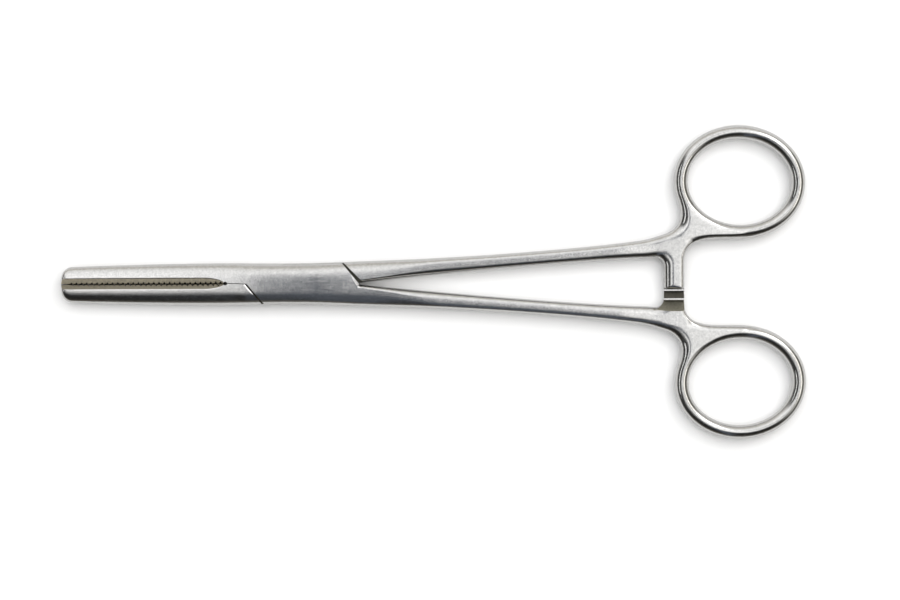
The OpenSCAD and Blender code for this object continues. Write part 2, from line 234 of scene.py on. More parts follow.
def sizes(scene):
    """All sizes in millimetres and radians, one namespace for each part of the clamp."""
    found = {}
    for part in PARTS:
        group = getattr(scene, "clamp_" + part)
        values = {}
        for key, prop in group.bl_rna.properties.items():
            if key in ("rna_type", "name"):
                continue
            value = getattr(group, key)
            values[key] = value / MM if getattr(prop, "unit", "") == "LENGTH" else value
        found[part] = SimpleNamespace(**values)
    return SimpleNamespace(**found)


# ---------------- the smooth blank of a half


def smooth_max(a, b, k):
    h = np.maximum(k - np.abs(a - b), 0) / k
    return np.maximum(a, b) + h * h * k / 4


def ease(x, low, high):
    t = np.clip((x - low) / (high - low), 0, 1)
    return t * t * (3 - 2 * t)


def corner(radius, inward):
    """What a corner of that radius takes off at the distance inward from an end."""
    left = np.clip(radius - inward, 0, radius)
    return radius - np.sqrt(radius * radius - left * left)


def fillet(a, b, radius):
    """Union of two plan forms with a round fillet in the corner between them."""
    reach = np.hypot(np.maximum(radius - a, 0), np.maximum(radius - b, 0))
    return np.maximum(radius, np.minimum(a, b)) - reach


class Blank:
    """One half before it is milled: jaws and box whole, with the handle on the +Y side."""

    LINE = np.arange(-70, 100, 0.1)
    LAND_FRONT = 12.0  # the box keeps its full thickness between these two
    LAND_REAR = 3.0
    JAW_ROOT, WAIST = -16.0, -5.0  # widest and slimmest place of the head
    ROOT_RUN = 20.0  # length over which the box's section turns into the shank's
    BURY = 4.0
    GROUND = 0.05  # what the soft edge of a ground face takes off again
    ROUND = 2.3  # power of the section's rounding; 2 is an ellipse
    BEND = 2.0  # the neck bends over this length on either side
    ARM_CORNER = 1.0
    TRUE_OVAL = 0.075  # the solids' rings have straight facets, which lie inside the true oval

    def __init__(self, size):
        self.size = size
        step = size.box.step_reach
        line = self.LINE
        self.arm_x = size.shank.neck_reach + size.ring.setback
        self.outer = self.softened(
            np.where(line < step, self.head_half_width(line), self.shank_outer(line)), 1.5
        )
        past = np.maximum(line, step)
        self.inner = self.softened(self.shank_centre(past) - self.shank_width(past) / 2, 0.5)
        self.half = self.softened(
            np.where(line < step, self.head_half_thickness(line), self.shank_thickness(line) / 2),
            2.6,
        )

    def softened(self, values, spread):
        """A curve along the clamp without kinks."""
        reach = 90
        steps = np.arange(-reach, reach + 1) * 0.1
        kernel = np.exp(-0.5 * (steps / spread) ** 2)
        padded = np.pad(values, reach, mode="edge")
        smooth = np.convolve(padded, kernel / kernel.sum(), "valid")
        return lambda x: np.interp(x, self.LINE, smooth)

    def head_half_width(self, x):
        jaw, box = self.size.jaw, self.size.box
        root, waist = self.JAW_ROOT, self.WAIST
        front = jaw.tip_width / 2 + (jaw.root_width - jaw.tip_width) / 2 * (
            1 - (np.clip(root - x, 0, jaw.reach) / (jaw.reach + root)) ** 1.8
        )
        middle = box.width / 2 + (jaw.root_width - box.width) / 2 * (
            np.clip(waist - x, 0, 60) / (waist - root)
        ) ** 2
        rear = box.width / 2 + (self.shank_outer(box.step_reach) - box.width / 2) * (
            np.clip(x - waist, 0, 60) / (box.step_reach - waist)
        ) ** 2
        return np.where(x < root, front, np.where(x < waist, middle, rear))

    def head_half_thickness(self, x):
        jaw, box, shank = self.size.jaw, self.size.box, self.size.shank
        front = jaw.tip_thickness / 2 + (box.thickness - jaw.tip_thickness) / 2 * (
            (jaw.reach + x) / (jaw.reach - self.LAND_FRONT)
        )
        fall = np.clip(x - self.LAND_REAR, 0, 60) / (box.step_reach - self.LAND_REAR)
        rear = box.thickness / 2 - (box.thickness - shank.root_thickness) / 2 * fall
        return np.where(x < -self.LAND_FRONT, front, rear)

    def waist_share(self, x):
        shank = self.size.shank
        step = self.size.box.step_reach
        return np.clip((shank.waist_reach - x) / (shank.waist_reach - step), 0, 2)

    def shank_width(self, x):
        shank = self.size.shank
        neck = np.clip((x - shank.waist_reach) / (shank.neck_reach - shank.waist_reach), 0, 2)
        return (
            shank.waist_width
            + (shank.root_width - shank.waist_width) * self.waist_share(x) ** 2
            + (shank.neck_width - shank.waist_width) * neck**2.5
        )

    def shank_thickness(self, x):
        shank = self.size.shank
        return shank.waist_thickness + (
            shank.root_thickness - shank.waist_thickness
        ) * self.waist_share(x) ** 2

    def shank_centre(self, x):
        shank = self.size.shank
        step = self.size.box.step_reach
        s = (x - step) / (shank.neck_reach - step)
        start = shank.root_width / 2 + 0.2
        return start + (shank.neck_rise - start) * s - 0.7 * s * (1 - s)

    def shank_outer(self, x):
        return self.shank_centre(x) + self.shank_width(x) / 2

    def head(self, x, y, z):
        jaw, box = self.size.jaw, self.size.box
        inward = np.maximum(x + jaw.reach, 0)
        half_width = self.outer(x) - corner(jaw.tip_radius, inward)
        flat = self.half(x) - corner(jaw.tip_rounding, inward)
        jaws = ease(-x, self.LAND_FRONT, self.LAND_FRONT + 12)
        crown = 2 * box.crown / box.thickness * (1 - 0.8 * jaws)
        top = self.half(x) * (1 + crown) - corner(jaw.tip_rounding, inward)
        power = self.ROUND
        section = (
            (np.abs(y) / half_width) ** power + (np.abs(z) / top) ** power
        ) ** (1 / power) - 1
        form = smooth_max(section * top, np.abs(z) - flat - self.GROUND, 0.3)
        form = np.maximum(form, x - box.step_reach)
        return smooth_max(form, -jaw.reach - x, 0.4)

    def shank(self, x, y, z):
        box = self.size.box
        step = box.step_reach
        turn = ease(x, step, step + self.ROOT_RUN)
        width = self.shank_width(np.maximum(x, step))
        outer, inner, flat = self.outer(x), self.inner(x), self.half(x)
        power = self.ROUND
        outer_run = outer * (1 - turn) + width / 2 * turn
        inner_run = 0.9 * (1 - turn) + width / 2 * turn
        top = flat * (1 + 2 * box.crown / box.thickness * (1 - 0.4 * turn))
        across = np.maximum((y - outer + outer_run) / outer_run, 0)
        back = np.maximum((inner + inner_run - y) / inner_run, 0)
        lift = (np.abs(z) / top) ** power
        form = (np.maximum(across, back) ** power + lift) ** (1 / power) - 1
        form = smooth_max(form * np.minimum(top, width / 2), np.abs(z) - flat - self.GROUND, 0.3)
        return np.maximum(form, step - self.BURY - x)

    def centre_lines(self, x):
        """The shank's centre line run on straight, and bent at the neck towards the ring."""
        shank = self.size.shank
        end, bend = shank.neck_reach, self.BEND
        past = x - end
        slope = (self.shank_centre(end) - self.shank_centre(end - 0.1)) / 0.1
        soft = np.where(past > bend, past, np.maximum(past + bend, 0) ** 2 / (4 * bend))
        straight = self.shank_centre(np.minimum(x, end)) + slope * np.maximum(past, 0)
        return straight, straight + (math.tan(shank.neck_slant) - slope) * soft

    def past_hole(self, x, y):
        """Distance from the edge of the finger hole outwards."""
        ring, shank = self.size.ring, self.size.shank
        dx = x - self.arm_x - ring.hole_length / 2 - ring.wall
        dy = y - shank.neck_rise - ring.lift - ring.hole_width / 2 - ring.wall
        c, s = math.cos(ring.tilt), math.sin(ring.tilt)
        u, v = np.abs(dx * c + dy * s), np.abs(dy * c - dx * s)
        a, b = ring.hole_length / 2, ring.hole_width / 2
        out = np.maximum(np.maximum(u - a, v - b), -0.8 * b)
        for _ in range(8):
            value = (u / (a + out)) ** 2 + (v / (b + out)) ** 2 - 1
            slope = -2 * (u**2 / (a + out) ** 3 + v**2 / (b + out) ** 3)
            out = out - value / np.minimum(slope, -1e-6)
        return out

    def plan(self, x, y):
        """Distance in the plan to the outline of the shank's end, neck, arm and ring."""
        size = self.size
        shank, ring, ratchet = size.shank, size.ring, size.ratchet
        out = self.past_hole(x, y)
        straight, bent = self.centre_lines(x)
        offset = y - bent
        low = straight + (bent - straight) * ease(x - self.arm_x, -1.5, 1.5)
        turned = ease(x - shank.neck_reach, -self.BEND, self.BEND)
        lean = 1 - (1 - math.cos(shank.neck_slant)) * turned
        width = self.shank_width(np.minimum(x, shank.neck_reach)) / 2
        strip = (np.maximum(offset, low - y) - width) * lean
        away = np.hypot(x - self.arm_x - 3.2, y - shank.neck_rise - 2.3) - 12
        strip = np.where(x > self.arm_x, np.maximum(strip, away), strip)
        a = np.abs(x - self.arm_x) - ratchet.arm_width / 2 + self.ARM_CORNER
        root = shank.neck_rise + 1.6
        b = np.abs(y - (root - ratchet.overlap) / 2) - (root + ratchet.overlap) / 2
        b = 2 * b + self.ARM_CORNER
        arm = np.minimum(np.maximum(a, b), 0) + np.hypot(np.maximum(a, 0), np.maximum(b, 0))
        outer = ring.arm_blend + (ring.ring_blend - ring.arm_blend) * ease(offset, -1.2, 1.2)
        crook = ratchet.crook + (ring.arm_blend - ratchet.crook) * ease(x - self.arm_x, -1, 1)
        form = fillet(out - ring.wall + self.TRUE_OVAL, strip, outer)
        form = fillet(form, arm - self.ARM_CORNER, crook)
        return np.maximum(form, self.TRUE_OVAL - out)

    def end(self, x, y, z):
        """Ring, neck, arm and the shank's end: the plan with its border rounded over."""
        size = self.size
        shank, ring, ratchet = size.shank, size.ring, size.ratchet
        flat = ratchet.arm_thickness / 2 + (ring.thickness - ratchet.arm_thickness) / 2 * ease(
            y, shank.neck_rise - 1, shank.neck_rise + 4
        )
        turn = ease(x, shank.neck_reach - 8, shank.neck_reach + 3)
        top = self.half(x) * (1 - turn) + flat * turn
        below = 1 - ease(y, shank.neck_rise + 0.5, shank.neck_rise + 3)
        right = below * ease(x, self.arm_x + 0.2, self.arm_x + 1.6)
        left = below * ease(x, shank.neck_reach + 2, shank.neck_reach + 5)
        left = left * (1 - ease(x, self.arm_x - 0.6, self.arm_x + 0.4))
        nook = np.hypot(x - self.arm_x + 1, y - shank.neck_rise - 4)
        border = ring.wall / 2 - (ring.wall / 2 - ratchet.edge) * right
        bevelled = np.maximum(left, 0.8 - 0.8 * ease(nook, 0, 8))
        border = border + (ratchet.bevel - ring.wall / 2) * bevelled
        away = np.maximum(
            ease(y, shank.neck_rise + 3, shank.neck_rise + 9),
            ease(x, self.arm_x + 4, self.arm_x + 12),
        )
        power = self.ROUND - 0.4 * away
        over = np.maximum(border + self.plan(x, y), 0) / border
        form = (over**power + (np.abs(z) / top) ** power) ** (1 / power) - 1
        return form * np.minimum(border, top)

    def __call__(self, x, y, z):
        """Below zero inside the blank, and about the distance to its skin in millimetres."""
        body = np.minimum(self.head(x, y, z), self.shank(x, y, z))
        turn = ease(x, self.size.shank.neck_reach - 14, self.size.shank.neck_reach - 4)
        return body * (1 - turn) + self.end(x, y, z) * turn

    def reach(self):
        ring, shank = self.size.ring, self.size.shank
        return (
            self.arm_x + ring.hole_length + 2 * ring.wall,
            shank.neck_rise + ring.lift + ring.hole_width + 2 * ring.wall,
        )


CORNERS = np.array([(i, j, k) for i in (0, 1) for j in (0, 1) for k in (0, 1)])
EDGES = [
    (a, b)
    for a in range(8)
    for b in range(a + 1, 8)
    if np.abs(CORNERS[a] - CORNERS[b]).sum() == 1
]


def skin(form, low, high, cell):
    """Points and four-sided faces of the surface where form is zero, on a grid of cells."""
    axes = [np.arange(low[i], high[i] + cell[i], cell[i]) for i in range(3)]
    values = form(axes[0][:, None, None], axes[1][None, :, None], axes[2][None, None, :])
    inside = values < 0
    count = np.zeros([n - 1 for n in inside.shape], np.int8)
    for i, j, k in CORNERS:
        count += inside[i : i + count.shape[0], j : j + count.shape[1], k : k + count.shape[2]]
    cells = np.argwhere((count > 0) & (count < 8))
    number = np.full(count.shape, -1, np.int64)
    number[tuple(cells.T)] = np.arange(len(cells))
    corners = cells[:, None, :] + CORNERS[None]
    level = values[tuple(np.moveaxis(corners, -1, 0))]
    total, hits = np.zeros((len(cells), 3)), np.zeros((len(cells), 1))
    for a, b in EDGES:
        crossed = (level[:, a] < 0) != (level[:, b] < 0)
        t = np.where(crossed, level[:, a] / np.where(crossed, level[:, a] - level[:, b], 1), 0)
        point = CORNERS[a] + (CORNERS[b] - CORNERS[a]) * t[:, None]
        total += np.where(crossed[:, None], point, 0)
        hits += crossed[:, None]
    points = (cells + total / hits) * np.array(cell) + np.array([a[0] for a in axes])
    faces = []
    for axis in range(3):
        u, v = (axis + 1) % 3, (axis + 2) % 3
        ahead = np.roll(inside, -1, axis)
        crossed = inside != ahead
        here = np.argwhere(crossed)
        keep = (here[:, u] > 0) & (here[:, v] > 0) & (here[:, axis] < inside.shape[axis] - 1)
        here = here[keep]
        here = here[(here[:, u] < count.shape[u]) & (here[:, v] < count.shape[v])]
        du, dv = np.eye(3, dtype=int)[u], np.eye(3, dtype=int)[v]
        quad = np.stack(
            [number[tuple((here - o).T)] for o in (du + dv, dv, np.zeros(3, int), du)], 1
        )
        leaves = inside[tuple(here.T)]
        faces.append(np.where(leaves[:, None], quad, quad[:, ::-1]))
    points = settle(form, points, min(cell))
    return points, np.concatenate(faces)


def settle(form, points, cell):
    """Moves the points onto the surface where form is zero."""
    nudge = 0.01
    for _ in range(4):
        x, y, z = points.T
        slope = np.stack(
            [
                form(x + nudge, y, z) - form(x - nudge, y, z),
                form(x, y + nudge, z) - form(x, y - nudge, z),
                form(x, y, z + nudge) - form(x, y, z - nudge),
            ],
            1,
        ) / (2 * nudge)
        steep = np.maximum((slope**2).sum(1), 0.04)
        move = -(form(x, y, z) / steep)[:, None] * slope
        size = np.linalg.norm(move, axis=1)
        points = points + move * np.minimum(1, 0.5 * cell / np.maximum(size, 1e-9))[:, None]
    return points


# ---------------- nodes


def plug(tree, socket, value):
    """Links another node's socket to this one, or sets this one to a plain value."""
    if isinstance(value, bpy.types.NodeSocket):
        tree.links.new(value, socket)
    else:
        socket.default_value = value


def add(tree, kind, values=(), **settings):
    """A new node with its settings and its inputs, each a plain value or a socket."""
    node = tree.nodes.new(kind)
    for name, value in settings.items():
        setattr(node, name, value)
    for key, value in dict(values).items():
        plug(tree, node.inputs[key], value)
    return node


def math_node(tree, operation, *values):
    return add(tree, "ShaderNodeMath", enumerate(values), operation=operation).outputs[0]


MIX_SOCKETS = {"FLOAT": (2, 3, 0), "RGBA": (6, 7, 2)}


def mix_node(tree, kind, weight, a, b):
    """Mixes two values or two colours."""
    first, second, result = MIX_SOCKETS[kind]
    values = {0: weight, first: a, second: b}
    return add(tree, "ShaderNodeMix", values, data_type=kind).outputs[result]


# ---------------- meshes and cutting


def new_object(name, points, faces, material=None):
    mesh = bpy.data.meshes.new(name)
    mesh.from_pydata([tuple(p) for p in points], [], [tuple(int(i) for i in f) for f in faces])
    mesh.update()
    if material:
        mesh.materials.append(material)
    made = bpy.data.objects.new(name, mesh)
    bpy.context.scene.collection.objects.link(made)
    return made


def loft(name, rings, material):
    """A closed solid through rings of the same number of points, all convex."""
    n = len(rings[0])
    points = [p for ring in rings for p in ring]
    faces = [
        (a * n + i, a * n + (i + 1) % n, (a + 1) * n + (i + 1) % n, (a + 1) * n + i)
        for a in range(len(rings) - 1)
        for i in range(n)
    ]
    faces += [tuple(range(n))[::-1], tuple(range((len(rings) - 1) * n, len(rings) * n))]
    made = new_object(name, points, faces, material)
    turn_outwards(made.data)
    return made


def turn_outwards(mesh):
    work = bmesh.new()
    work.from_mesh(mesh)
    bmesh.ops.recalc_face_normals(work, faces=work.faces)
    if work.calc_volume(signed=True) < 0:
        bmesh.ops.reverse_faces(work, faces=work.faces)
    work.to_mesh(mesh)
    work.free()


def prism(name, outline, low, high, material):
    """An outline in the plan, given a height from low to high."""
    return loft(name, [[(x, y, z) for x, y in outline] for z in (low, high)], material)


def cylinder(name, radius, low, high, material, x=0.0, y=0.0, sides=96):
    turns = [2 * math.pi * i / sides for i in range(sides)]
    ring = [(x + radius * math.cos(t), y + radius * math.sin(t)) for t in turns]
    return prism(name, ring, low, high, material)


def cut(piece, *tools, operation="DIFFERENCE"):
    """Takes each tool away from the piece. The cut faces get the tool's material."""
    for tool in tools:
        step = piece.modifiers.new("cut", "BOOLEAN")
        step.operation = operation
        step.solver = "MANIFOLD"
        step.object = tool
        step.material_mode = "TRANSFER"
        bake(piece)
        old = tool.data
        bpy.data.objects.remove(tool)
        bpy.data.meshes.remove(old)
    return piece


def second_material(tool, material, chosen):
    """Gives another material to the faces of a cutting tool that are chosen by their normal."""
    tool.data.materials.append(material)
    for face in tool.data.polygons:
        face.material_index = int(chosen(face.normal))
    return tool


def bake(piece):
    """Turns the result of the piece's modifiers into its own plain mesh."""
    graph = bpy.context.evaluated_depsgraph_get()
    made = bpy.data.meshes.new_from_object(piece.evaluated_get(graph))
    old = piece.data
    piece.modifiers.clear()
    piece.data = made
    bpy.data.meshes.remove(old)
    return piece


def row_tree():
    """Geometry nodes that repeat the mesh they are put on in a straight row."""
    name = "clamp_row"
    if name in bpy.data.node_groups:
        return bpy.data.node_groups[name]
    tree = bpy.data.node_groups.new(name, "GeometryNodeTree")
    face = tree.interface
    kinds = {"Geometry": "Geometry", "Count": "Int", "Start": "Vector", "Pitch": "Vector"}
    for label, kind in (*kinds.items(), ("Material", "Material")):
        face.new_socket(label, in_out="INPUT", socket_type="NodeSocket" + kind)
    face.new_socket("Geometry", in_out="OUTPUT", socket_type="NodeSocketGeometry")
    given = add(tree, "NodeGroupInput").outputs
    steps = {"Count": given["Count"], "Start Location": given["Start"], "Offset": given["Pitch"]}
    line = add(tree, "GeometryNodeMeshLine", steps, mode="OFFSET").outputs["Mesh"]
    placed = {"Points": line, "Instance": given["Geometry"]}
    copies = add(tree, "GeometryNodeInstanceOnPoints", placed).outputs["Instances"]
    real = add(tree, "GeometryNodeRealizeInstances", {"Geometry": copies}).outputs["Geometry"]
    painted = {"Geometry": real, "Material": given["Material"]}
    result = add(tree, "GeometryNodeSetMaterial", painted).outputs["Geometry"]
    add(tree, "NodeGroupOutput", {"Geometry": result})
    return tree


def row(tool, count, start, pitch, material):
    """Repeats a cutting tool in a row by geometry nodes."""
    step = tool.modifiers.new("row", "NODES")
    step.node_group = row_tree()
    values = {"Count": count, "Start": start, "Pitch": pitch, "Material": material}
    for item in step.node_group.interface.items_tree:
        if item.in_out == "INPUT" and item.name in values:
            step[item.identifier] = values[item.name]
    return bake(tool)


# ---------------- what is milled from a half


def tooth_count(size):
    jaw = size.jaw
    return int((jaw.reach - 0.9 - jaw.grip_start - 0.4) / jaw.tooth_pitch)


def parting(size, shift, crest):
    """Parting line from the box to past the tip, along the crests of this side's teeth."""
    jaw = size.jaw
    start = -jaw.grip_start - 0.4
    end = start - tooth_count(size) * jaw.tooth_pitch
    return [(start, shift), (start, crest), (end, crest), (end, shift), (-jaw.reach - FAR, shift)]


def serrations(size, side, material):
    """The valleys between the teeth of one jaw, side +1 for the upper and -1 for the lower."""
    jaw = size.jaw
    half, deep = jaw.tooth_pitch / 2 - 0.02, jaw.tooth_depth
    base = side * (jaw.gap - deep) / 2
    tall = jaw.tip_thickness / 2
    rings = []
    for z in (-4 * tall, 0, 4 * tall):
        most = deep * (1 + 0.45 * abs(z) / tall)
        valley = [(0, side * most), (half, side * 0.02), (half, -side * 0.2)]
        rings.append([(x, y, z) for x, y in valley + [(-x, y) for x, y in reversed(valley[1:])]])
    tool = loft("valley", rings, material)
    count = tooth_count(size)
    first = -jaw.grip_start - 0.4 - (0.25 if side > 0 else 0.75) * jaw.tooth_pitch
    if side < 0:
        count -= 1
    return row(tool, count, (first, base, 0), (-jaw.tooth_pitch, 0, 0), material)


def grip_cuts(size, blank, finish, milled):
    """Bevels along both gripping edges on both faces, and the notch behind them."""
    jaw = size.jaw
    slope = jaw.bevel_drop / jaw.bevel_width
    # Drop and slope of the worn edge, the bevel and the dark seam along the teeth. The bevel gets
    # the colour passed as milled, painted light on the upper jaw and painted shade on the lower;
    # the seam's near black is painted shade.
    cuts = (
        (jaw.bevel_width * 0.46, WORN_SLOPE, finish["satin"]),
        (jaw.bevel_drop, slope, milled),
        (jaw.bevel_drop + 0.2, SEAM_SLOPE, finish["scale"]),
    )
    runs = [math.sin(i / 14 * math.pi / 2) for i in range(15)]
    stations = [-jaw.reach - 1] + [-jaw.grip_start - jaw.bevel_run * (1 - r) for r in runs]
    tools = []
    for drop, slope, material in cuts:
        for face in (1, -1):
            rings = []
            for x in stations:
                out = max(0.0, 1 - (-jaw.grip_start - x) / jaw.bevel_run)
                top = float(blank.half(max(x, -jaw.reach)))
                low = top - drop * math.sqrt(max(0.0004, 1 - out * out))
                wide = (top + 1 - low) / slope
                ring = [(0, low), (wide, top + 1), (-wide, top + 1)]
                rings.append([(x, y, face * z) for y, z in ring])
            tools.append(loft("bevel", rings, material))
    notch = -jaw.grip_start + 0.3
    # The notch gets the near-black colour: painted shade in the hole.
    tools.append(cylinder("relief", jaw.relief_radius, -FAR, FAR, finish["scale"], notch, sides=40))
    return tools


def step_run(size, reach):
    return reach / math.tan(size.box.step_angle)


def passage_wall(size):
    """A wall of the passage through the box, as a step along x and y."""
    slant = size.box.wall_angle
    return math.cos(slant) * WALL_RUN, math.sin(slant) * WALL_RUN


def lift_profile(size):
    """The rack in the YZ plane: crest height, root height, where it and its ramp start."""
    ratchet = size.ratchet
    crest = ratchet.gap / 2
    root = crest + ratchet.depth
    start = ratchet.teeth * ratchet.pitch - ratchet.overlap - 0.45
    return crest, root, start, start + ratchet.ramp


def ratchet_tools(size, blank, side, finish):
    """The relief under an arm and the valleys between its teeth; side +1 for the web half."""
    ratchet = size.ratchet
    crest, root, start, ramp = lift_profile(size)
    low = blank.arm_x - ratchet.arm_width / 2 - 2.6
    high = blank.arm_x + ratchet.arm_width / 2 + 0.6
    deep = ratchet.arm_thickness / 2 + 0.4

    def across(name, outline, material):
        rings = [[(x, side * y, side * z) for y, z in outline] for x in (low, high)]
        return loft(name, rings, material)

    # The relief's cut faces get the darker rack colour, painted shade on the ramp; its flat faces
    # keep the satin steel.
    relief = across(
        "relief",
        [(ramp, -deep), (start, root), (start - 0.2, crest), (-FAR, crest), (-FAR, -deep)],
        finish["rack"],
    )
    second_material(relief, finish["satin"], lambda normal: abs(normal.z) > 0.99)
    run = ratchet.pitch - 0.6
    outline = [(0, root - crest), (-0.2, 0), (-0.2, -0.1), (run, -0.1), (run, 0)]
    # The valleys between the rack's teeth get the near-black colour: painted shade.
    valley = across("valley", outline, finish["scale"])
    first, pitch = (0, side * (start - ratchet.pitch), side * crest), (0, -side * ratchet.pitch, 0)
    return relief, row(valley, ratchet.teeth, first, pitch, finish["scale"])


def chamfer(name, start, end, width_a, width_b, size, face, material):
    """Takes an edge off that runs from start to end; the cut widens from one to the other."""
    box = size.box
    n = Vector((-math.sin(box.step_angle), -math.cos(box.step_angle)))
    top = face * box.thickness / 2

    def ring(point, width):
        p = Vector(point)
        q, o = p + n * width, p - n * 0.3
        low = top - face * width * 0.45
        return [
            (q.x, q.y, top),
            (p.x, p.y, low),
            (o.x, o.y, low),
            (o.x, o.y, top + face * 0.3),
            (q.x, q.y, top + face * 0.3),
        ]

    return loft(name, [ring(start, width_a), ring(end, width_b)], material)


def slant_jaws(mesh, form, size):
    """Leans the meeting faces of the jaws a little, so that no light falls through the gap."""
    flat = np.zeros(len(mesh.vertices) * 3)
    mesh.vertices.foreach_get("co", flat)
    points = flat.reshape(-1, 3)
    x, z = points[:, 0], points[:, 2]
    lean = JAW_LEAN / (form.half(np.maximum(x, -size.jaw.reach)) - 0.9)
    points[:, 1] += lean * z * ease(-x, size.box.step_reach, size.box.step_reach + 3)
    mesh.vertices.foreach_set("co", points.ravel())
    mesh.update()


def finish_piece(piece, form, body, node):
    """Scales a finished piece to metres, lifts it to its place and hands it to the frame."""
    size = form.size
    mesh = piece.data
    slant_jaws(mesh, form, size)
    lift = Matrix.Translation((0, 0, size.box.thickness / 2))
    mesh.transform(Matrix.Diagonal((MM, MM, MM, 1)) @ lift)
    mesh.shade_smooth()
    mesh.set_sharp_from_angle(angle=SHARP)
    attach(piece, body)
    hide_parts(node)
    return piece


def blank_mesh(size, name, side, material):
    """A copy of the smooth blank, with its handle on the +Y side (+1) or the -Y side (-1)."""
    if "blank" not in MADE:
        form = Blank(size)
        far_x, far_y = form.reach()
        tall = size.box.thickness / 2
        low = (-size.jaw.reach - MARGIN[0], -size.jaw.root_width / 2 - MARGIN[1], -tall - MARGIN[2])
        high = (far_x + MARGIN[0], far_y + MARGIN[1], tall + MARGIN[2])
        MADE["blank"] = (form, *skin(form, low, high, CELL))
    form, points, faces = MADE["blank"]
    turned = points * np.array([1, side, side])
    return new_object(name, turned, faces, material), form


MADE = {}


def build_box_half(size, finish):
    # rough holds the rack colour, a darker copy of the steel: painted shade on the faces of the
    # passage and of the pin hole.
    satin, rough = finish["satin"], finish["rack"]
    piece, form = blank_mesh(size, "box_half", -1, satin)
    jaw, box = size.jaw, size.box
    step = box.step_reach
    run = step_run(size, FAR)
    half_gap = jaw.gap / 2
    tall = FAR / 4
    lower = (
        [(-step, 0), (-step, half_gap)]
        + parting(size, half_gap, (jaw.gap - jaw.tooth_depth) / 2)
        + [(-jaw.reach - FAR, -FAR), (-step + run, -FAR)]
    )
    cut(piece, prism("lower jaw", lower, -tall, tall, satin))
    upper = [(step, 0), (step + FAR / 3, 0), (step + FAR / 3, FAR), (step - run, FAR)]
    cut(piece, prism("shoulder", upper, -tall, tall, satin))
    wall = passage_wall(size)
    a = (-step, 0.0)
    passage = [a, (a[0] + wall[0], wall[1]), (FAR, wall[1]), (FAR, 0)]
    passage += [(step, 0.0), (step - wall[0], -wall[1]), (-step, -wall[1])]
    cut(piece, prism("passage", passage, -box.slot / 2, box.slot / 2, rough))
    cut(piece, cylinder("pin hole", PIN_RADIUS, -tall, tall, rough))
    # The valleys between the jaw's teeth get the near-black colour: painted shade.
    cut(piece, serrations(size, 1, finish["scale"]))
    # The upper jaw's bevels get the light beige: painted light.
    cut(piece, *grip_cuts(size, form, finish, finish["milled"]))
    corner_point = (step - box.width / 2 / math.tan(box.step_angle), box.width / 2)
    width, end = box.crotch_chamfer, (step, -0.02)
    for face in (1, -1):
        cut(piece, chamfer("crotch", corner_point, end, 0.1, width, size, face, satin))
    cut(piece, *ratchet_tools(size, form, -1, finish))
    return finish_piece(piece, form, "box_half", "female_half")


def build_web_half(size, finish):
    # rough holds the rack colour, a darker copy of the steel: painted shade on the cheeks' parting
    # faces, the passage and the pin hole.
    satin, rough = finish["satin"], finish["rack"]
    piece, form = blank_mesh(size, "web_half", 1, satin)
    jaw, box = size.jaw, size.box
    step = box.step_reach
    gap = box.step_gap / math.sin(box.step_angle)
    run = step_run(size, FAR)
    half_gap = jaw.gap / 2
    tall = FAR / 4
    web = box.slot / 2 - box.web_clear
    front = -step - gap
    crotch = (step + gap + box.crotch_gap, 0.0)
    rear = (step + gap - box.width / 2 / math.tan(box.step_angle), box.width / 2)
    past = (crotch[0] + (rear[0] - crotch[0]) * 6, rear[1] * 6)
    cheek = (
        [(front + run, -FAR), (front, -half_gap)]
        + parting(size, -half_gap, (jaw.tooth_depth - jaw.gap) / 2)
        + [(-jaw.reach - FAR, FAR), (past[0], FAR), past, crotch, (crotch[0], -FAR)]
    )
    # The cheeks leave the web's faces and the steps in the near-black colour, painted shade in the
    # gaps of the box; the parting faces keep the rack colour.
    for name, low, high in (("upper cheek", web, tall), ("lower cheek", -tall, -web)):
        tool = prism(name, cheek, low, high, rough)
        cut(piece, second_material(tool, finish["scale"], lambda normal: abs(normal.y) < 0.99))
    wall = passage_wall(size)
    a = -step + box.wall_clear / math.sin(box.wall_angle)
    foot = a - half_gap / math.tan(box.wall_angle)
    ahead = (
        [(foot, -half_gap), (front, -half_gap)]
        + parting(size, -half_gap, (jaw.tooth_depth - jaw.gap) / 2)
        + [(-jaw.reach - FAR, FAR), (a + wall[0], FAR), (a + wall[0], wall[1])]
    )
    behind = [
        (-foot, half_gap),
        (-a - wall[0], -wall[1]),
        (-a - wall[0], -FAR),
        (crotch[0], -FAR),
        (crotch[0], half_gap),
    ]
    more = 0.01
    cut(piece, prism("ahead of web", ahead, -web - more, web + more, rough))
    cut(piece, prism("behind web", behind, -web - more, web + more, rough))
    cut(piece, cylinder("pin hole", PIN_RADIUS + box.pin_clear, -tall, tall, rough))
    # The valleys between the jaw's teeth get the near-black colour: painted shade.
    cut(piece, serrations(size, -1, finish["scale"]))
    # The lower jaw's bevels get the dark tone: painted shade.
    cut(piece, *grip_cuts(size, form, finish, finish["dull_shaded"]))
    width = box.shoulder_chamfer
    for face in (1, -1):
        end = (front + step_run(size, 8), -8)
        cut(piece, chamfer("shoulder edge", (front, 0), end, width, width, size, face, satin))
    cut(piece, *ratchet_tools(size, form, 1, finish))
    return finish_piece(piece, form, "web_half", "male_half")


def build_pin(size, finish):
    """The riveted pin, cut from the blank's own form because it is ground flush with the box."""
    steel = finish["pin"]
    piece, form = blank_mesh(size, "rivet_pin", 1, steel)
    rod = cylinder("rod", PIN_RADIUS, -FAR / 4, FAR / 4, steel)
    cut(piece, rod, operation="INTERSECT")
    return finish_piece(piece, form, "box_half", "pivot_pin")


# ---------------- steel


